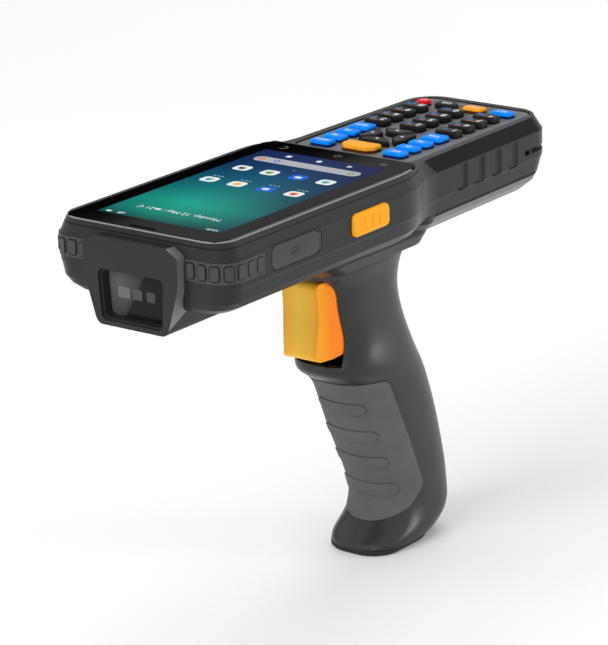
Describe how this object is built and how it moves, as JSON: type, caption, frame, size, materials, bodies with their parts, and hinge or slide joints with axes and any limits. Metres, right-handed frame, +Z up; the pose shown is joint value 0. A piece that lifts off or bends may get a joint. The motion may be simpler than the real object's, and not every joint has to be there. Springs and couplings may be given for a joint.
{
  "type": "handheld barcode data terminal",
  "caption": "Handheld data terminal with a touch display, a keypad, a scanning nose, side scan buttons and a pistol grip with a trigger.",
  "frame": {"origin": "centre of the flat sole under the grip, on the surface it stands on", "axes": "+Z up, +Y from the scanning nose to the keypad end, +X to the side with the port cover"},
  "size_m": [0.0756, 0.2006, 0.1459],
  "materials": {
    "casing": "dark grey textured plastic",
    "casing_lower": "dark grey plastic",
    "screw_steel": "plated steel",
    "cover_glass": "black-printed cover glass",
    "display": "lit display",
    "panel": "grey satin plate",
    "mat_rubber": "silicone mat",
    "board": "green circuit board",
    "inner_plastic": "black plastic",
    "battery": "wrapped battery pack",
    "window": "dark red-black window",
    "bumper_rubber": "moulded rubber",
    "orange_plastic": "orange plastic",
    "grip_plastic": "satin dark grey plastic",
    "grip_rubber": "grey soft-touch rubber",
    "foot_rubber": "light grey rubber sole",
    "key_black": "black key cap",
    "key_blue": "blue key cap",
    "key_orange": "orange key cap",
    "key_red": "red key cap"
  },
  "bodies": {
    "terminal": {"battery_cover": "casing_lower", "battery_pack": "battery", "corner_bumper_left": "bumper_rubber", "corner_bumper_right": "bumper_rubber", "display_glass": "cover_glass", "display_module": "display", "front_housing": "casing", "grip_foot": "foot_rubber", "grip_rubber": "grip_rubber", "grip_screws": "screw_steel", "grip_shell_left": "grip_plastic", "grip_shell_right": "grip_plastic", "housing_screws": "screw_steel", "keypad_membrane": "mat_rubber", "keypad_panel": "panel", "loudspeaker": "inner_plastic", "main_board": "board", "mount_collar": "casing", "port_receptacle": "screw_steel", "rear_housing": "casing", "scan_engine": "inner_plastic", "scan_hood": "casing", "scan_window": "window", "trigger_pin": "screw_steel", "trigger_spring": "screw_steel", "trigger_switch": "inner_plastic"},
    "key_escape": {"key_escape": "key_blue"},
    "key_camera": {"key_camera": "key_blue"},
    "key_page_up": {"key_page_up": "key_blue"},
    "key_tab": {"key_tab": "key_blue"},
    "key_menu": {"key_menu": "key_blue"},
    "key_home": {"key_home": "key_blue"},
    "key_page_down": {"key_page_down": "key_blue"},
    "key_enter": {"key_enter": "key_blue"},
    "key_1": {"key_1": "key_black"},
    "key_2": {"key_2": "key_black"},
    "key_3": {"key_3": "key_black"},
    "key_4": {"key_4": "key_black"},
    "key_5": {"key_5": "key_black"},
    "key_6": {"key_6": "key_black"},
    "key_7": {"key_7": "key_black"},
    "key_8": {"key_8": "key_black"},
    "key_9": {"key_9": "key_black"},
    "key_star": {"key_star": "key_black"},
    "key_0": {"key_0": "key_black"},
    "key_hash": {"key_hash": "key_black"},
    "key_blue": {"key_blue": "key_blue"},
    "key_orange": {"key_orange": "key_orange"},
    "key_backspace": {"key_backspace": "key_black"},
    "key_scan": {"key_scan": "key_orange"},
    "key_up": {"key_up": "key_black"},
    "key_down": {"key_down": "key_black"},
    "key_left": {"key_left": "key_black"},
    "key_right": {"key_right": "key_black"},
    "key_power": {"key_power": "key_red"},
    "side_button_left": {"side_button_left": "orange_plastic"},
    "side_button_right": {"side_button_right": "orange_plastic"},
    "trigger": {"trigger": "orange_plastic"},
    "port_cover": {"port_cover": "bumper_rubber"}
  },
  "joints": [
    {"name": "key_escape_press", "type": "slide", "parent": "terminal", "child": "key_escape", "axis": [0, 0, -1], "range_m": [0, 0.0006], "stiffness_N_per_m": 300, "springref_m": -0.0008},
    {"name": "key_camera_press", "type": "slide", "parent": "terminal", "child": "key_camera", "axis": [0, 0, -1], "range_m": [0, 0.0006], "stiffness_N_per_m": 300, "springref_m": -0.0008},
    {"name": "key_page_up_press", "type": "slide", "parent": "terminal", "child": "key_page_up", "axis": [0, 0, -1], "range_m": [0, 0.0006], "stiffness_N_per_m": 300, "springref_m": -0.0008},
    {"name": "key_tab_press", "type": "slide", "parent": "terminal", "child": "key_tab", "axis": [0, 0, -1], "range_m": [0, 0.0006], "stiffness_N_per_m": 300, "springref_m": -0.0008},
    {"name": "key_menu_press", "type": "slide", "parent": "terminal", "child": "key_menu", "axis": [0, 0, -1], "range_m": [0, 0.0006], "stiffness_N_per_m": 300, "springref_m": -0.0008},
    {"name": "key_home_press", "type": "slide", "parent": "terminal", "child": "key_home", "axis": [0, 0, -1], "range_m": [0, 0.0006], "stiffness_N_per_m": 300, "springref_m": -0.0008},
    {"name": "key_page_down_press", "type": "slide", "parent": "terminal", "child": "key_page_down", "axis": [0, 0, -1], "range_m": [0, 0.0006], "stiffness_N_per_m": 300, "springref_m": -0.0008},
    {"name": "key_enter_press", "type": "slide", "parent": "terminal", "child": "key_enter", "axis": [0, 0, -1], "range_m": [0, 0.0006], "stiffness_N_per_m": 300, "springref_m": -0.0008},
    {"name": "key_1_press", "type": "slide", "parent": "terminal", "child": "key_1", "axis": [0, 0, -1], "range_m": [0, 0.0006], "stiffness_N_per_m": 300, "springref_m": -0.0008},
    {"name": "key_2_press", "type": "slide", "parent": "terminal", "child": "key_2", "axis": [0, 0, -1], "range_m": [0, 0.0006], "stiffness_N_per_m": 300, "springref_m": -0.0008},
    {"name": "key_3_press", "type": "slide", "parent": "terminal", "child": "key_3", "axis": [0, 0, -1], "range_m": [0, 0.0006], "stiffness_N_per_m": 300, "springref_m": -0.0008},
    {"name": "key_4_press", "type": "slide", "parent": "terminal", "child": "key_4", "axis": [0, 0, -1], "range_m": [0, 0.0006], "stiffness_N_per_m": 300, "springref_m": -0.0008},
    {"name": "key_5_press", "type": "slide", "parent": "terminal", "child": "key_5", "axis": [0, 0, -1], "range_m": [0, 0.0006], "stiffness_N_per_m": 300, "springref_m": -0.0008},
    {"name": "key_6_press", "type": "slide", "parent": "terminal", "child": "key_6", "axis": [0, 0, -1], "range_m": [0, 0.0006], "stiffness_N_per_m": 300, "springref_m": -0.0008},
    {"name": "key_7_press", "type": "slide", "parent": "terminal", "child": "key_7", "axis": [0, 0, -1], "range_m": [0, 0.0006], "stiffness_N_per_m": 300, "springref_m": -0.0008},
    {"name": "key_8_press", "type": "slide", "parent": "terminal", "child": "key_8", "axis": [0, 0, -1], "range_m": [0, 0.0006], "stiffness_N_per_m": 300, "springref_m": -0.0008},
    {"name": "key_9_press", "type": "slide", "parent": "terminal", "child": "key_9", "axis": [0, 0, -1], "range_m": [0, 0.0006], "stiffness_N_per_m": 300, "springref_m": -0.0008},
    {"name": "key_star_press", "type": "slide", "parent": "terminal", "child": "key_star", "axis": [0, 0, -1], "range_m": [0, 0.0006], "stiffness_N_per_m": 300, "springref_m": -0.0008},
    {"name": "key_0_press", "type": "slide", "parent": "terminal", "child": "key_0", "axis": [0, 0, -1], "range_m": [0, 0.0006], "stiffness_N_per_m": 300, "springref_m": -0.0008},
    {"name": "key_hash_press", "type": "slide", "parent": "terminal", "child": "key_hash", "axis": [0, 0, -1], "range_m": [0, 0.0006], "stiffness_N_per_m": 300, "springref_m": -0.0008},
    {"name": "key_blue_press", "type": "slide", "parent": "terminal", "child": "key_blue", "axis": [0, 0, -1], "range_m": [0, 0.0006], "stiffness_N_per_m": 300, "springref_m": -0.0008},
    {"name": "key_orange_press", "type": "slide", "parent": "terminal", "child": "key_orange", "axis": [0, 0, -1], "range_m": [0, 0.0006], "stiffness_N_per_m": 300, "springref_m": -0.0008},
    {"name": "key_backspace_press", "type": "slide", "parent": "terminal", "child": "key_backspace", "axis": [0, 0, -1], "range_m": [0, 0.0006], "stiffness_N_per_m": 300, "springref_m": -0.0008},
    {"name": "key_scan_press", "type": "slide", "parent": "terminal", "child": "key_scan", "axis": [0, 0, -1], "range_m": [0, 0.0006], "stiffness_N_per_m": 300, "springref_m": -0.0008},
    {"name": "key_up_press", "type": "slide", "parent": "terminal", "child": "key_up", "axis": [0, 0, -1], "range_m": [0, 0.0006], "stiffness_N_per_m": 300, "springref_m": -0.0008},
    {"name": "key_down_press", "type": "slide", "parent": "terminal", "child": "key_down", "axis": [0, 0, -1], "range_m": [0, 0.0006], "stiffness_N_per_m": 300, "springref_m": -0.0008},
    {"name": "key_left_press", "type": "slide", "parent": "terminal", "child": "key_left", "axis": [0, 0, -1], "range_m": [0, 0.0006], "stiffness_N_per_m": 300, "springref_m": -0.0008},
    {"name": "key_right_press", "type": "slide", "parent": "terminal", "child": "key_right", "axis": [0, 0, -1], "range_m": [0, 0.0006], "stiffness_N_per_m": 300, "springref_m": -0.0008},
    {"name": "key_power_press", "type": "slide", "parent": "terminal", "child": "key_power", "axis": [0, 0, -1], "range_m": [0, 0.0006], "stiffness_N_per_m": 300, "springref_m": -0.0008},
    {"name": "side_button_right_press", "type": "slide", "parent": "terminal", "child": "side_button_right", "axis": [-1, 0, 0], "range_m": [0, 0.0008], "stiffness_N_per_m": 500, "springref_m": -0.0008},
    {"name": "side_button_left_press", "type": "slide", "parent": "terminal", "child": "side_button_left", "axis": [1, 0, 0], "range_m": [0, 0.0008], "stiffness_N_per_m": 500, "springref_m": -0.0008},
    {"name": "trigger_pull", "type": "hinge", "parent": "terminal", "child": "trigger", "pos_m": [0, -0.0275, 0.1035], "axis": [1, 0, 0], "range_deg": [0, 7], "stiffness_Nm_per_rad": 0.6, "springref_deg": -5.73},
    {"name": "port_cover_swing", "type": "hinge", "parent": "terminal", "child": "port_cover", "pos_m": [0.0356, -0.0775, 0.13525], "axis": [0, 0, 1], "range_deg": [0, 95]}
  ]
}
